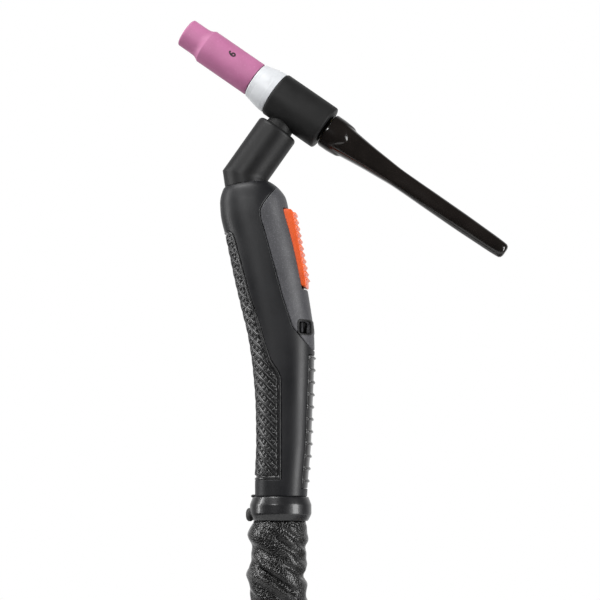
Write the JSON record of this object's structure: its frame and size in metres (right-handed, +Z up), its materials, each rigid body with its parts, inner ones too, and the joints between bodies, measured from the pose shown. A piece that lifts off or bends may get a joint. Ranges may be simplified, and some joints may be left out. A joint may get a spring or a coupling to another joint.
{
  "type": "tig welding torch",
  "caption": "Pistol-handled TIG torch with swivelling neck and head, ceramic nozzle, long back cap, trigger and coiled leather-sleeved hose.",
  "frame": {"origin": "where the palm closes on the handle, on the handle's middle plane", "axes": "+Z up along the handle to the head, +X towards the trigger and the back cap, +Y the far side of the handle"},
  "size_m": [0.3545, 0.3287, 0.4602],
  "materials": {
    "head_black": "fine grained moulding",
    "neck_black": "satin moulding",
    "shell_black": "satin moulding",
    "module_grey": "textured moulding",
    "grip_rubber": "moulded knurl, satin",
    "seal_rubber": "matt",
    "trigger_orange": "satin moulding",
    "cap_black": "polished phenolic",
    "ceramic_pink": "fired alumina, matt",
    "gasket_white": "turned fluoropolymer",
    "brass": "turned",
    "copper": "drawn copper alloy",
    "tungsten": "ground",
    "steel": "bright",
    "collar_black": "satin anodised",
    "leather_black": "grained, oiled",
    "hose_rubber": "smooth extruded cover",
    "cable_grey": "smooth extruded cover",
    "strap_black": "woven hook-and-loop strap",
    "seal_red": "silicone",
    "inner_grey": "plain moulding",
    "white_plastic": "plain moulding"
  },
  "bodies": {
    "handle": {"neck_washer": "inner_grey", "neck_bush": "brass", "handle_shell_near": "shell_black", "handle_shell_far": "shell_black", "handle_screws": "steel", "control_module": "module_grey", "latch_clip": "steel", "grip_inlay": "grip_rubber", "front_strip": "grip_rubber", "trigger_pin": "steel", "switch_carrier": "inner_grey", "micro_switch": "inner_grey", "power_block": "brass", "inner_hose": "hose_rubber", "hose_ferrule": "copper", "switch_lead": "cable_grey", "rear_collar": "collar_black", "hose_gland": "seal_rubber", "sleeve_tie": "strap_black", "leather_sleeve": "leather_black", "sleeve_cuff": "hose_rubber", "hose_lead": "hose_rubber", "hose_coil": "hose_rubber", "hose_rise": "hose_rubber", "hose_ties": "strap_black", "split_boot": "hose_rubber", "power_tail": "hose_rubber", "power_plug_grip": "hose_rubber", "power_plug_pin": "brass", "gas_o_ring": "seal_red", "control_tail": "cable_grey", "control_plug": "inner_grey", "control_contacts": "brass"},
    "head": {"head_body": "head_black", "head_core": "brass", "swivel_stem": "brass", "stem_o_ring": "seal_rubber", "stem_clip": "steel", "collet_body": "copper", "collet": "copper"},
    "gasket": {"cup_gasket": "gasket_white"},
    "nozzle": {"nozzle": "ceramic_pink"},
    "electrode": {"electrode": "tungsten"},
    "cap_seal": {"cap_o_ring": "seal_rubber"},
    "back_cap": {"back_cap": "cap_black"},
    "neck": {"neck_elbow": "neck_black", "head_socket": "brass", "neck_spigot": "brass", "neck_o_ring": "seal_rubber", "neck_clip": "steel"},
    "trigger": {"trigger": "trigger_orange"},
    "plunger": {"switch_plunger": "white_plastic"},
    "plug_ring": {"control_ring": "steel"}
  },
  "joints": [
    {"name": "neck_swivel", "type": "hinge", "parent": "handle", "child": "neck", "pos_m": [-0.0189, 0, 0.0868], "axis": [-0.1478, 0, 0.989], "range_deg": [-90, 90]},
    {"name": "head_swivel", "type": "hinge", "parent": "neck", "child": "head", "pos_m": [0.00778, 0, 0.13071], "axis": [0.5779, 0, 0.8161], "range_deg": [-90, 90]},
    {"name": "nozzle_travel", "type": "slide", "parent": "head", "child": "gasket", "axis": [-0.8161, 0, 0.5779], "range_m": [0, 0.00625]},
    {"name": "nozzle_turn", "type": "hinge", "parent": "gasket", "child": "nozzle", "pos_m": [0.00778, 0, 0.13071], "axis": [-0.8161, 0, 0.5779], "range_deg": [0, 1800]},
    {"name": "cap_travel", "type": "slide", "parent": "head", "child": "cap_seal", "axis": [0.8161, 0, -0.5779], "range_m": [0, 0.00625]},
    {"name": "cap_turn", "type": "hinge", "parent": "cap_seal", "child": "back_cap", "pos_m": [0.00778, 0, 0.13071], "axis": [0.8161, 0, -0.5779], "range_deg": [0, 1800]},
    {"name": "electrode_slide", "type": "slide", "parent": "head", "child": "electrode", "axis": [-0.8161, 0, 0.5779], "range_m": [0, 0.02]},
    {"name": "trigger_press", "type": "hinge", "parent": "handle", "child": "trigger", "pos_m": [0.0006, 0, 0.0684], "axis": [0, 1, 0], "range_deg": [0, 3], "stiffness_Nm_per_rad": 1.2, "springref_deg": -4.58},
    {"name": "plunger_travel", "type": "slide", "parent": "handle", "child": "plunger", "axis": [-1, 0, 0], "range_m": [0, 0.0012]},
    {"name": "plug_ring_turn", "type": "hinge", "parent": "handle", "child": "plug_ring", "pos_m": [0.07786, 0.02284, -0.2331], "axis": [-0.7185, 0.6955, 0], "continuous": true}
  ],
  "couplings": [
    {"joint": "nozzle_travel", "follows": "nozzle_turn", "m_per_rad": 0.00019894},
    {"joint": "cap_travel", "follows": "cap_turn", "m_per_rad": 0.00019894},
    {"joint": "plunger_travel", "follows": "trigger_press", "m_per_rad": 0.0214}
  ]
}
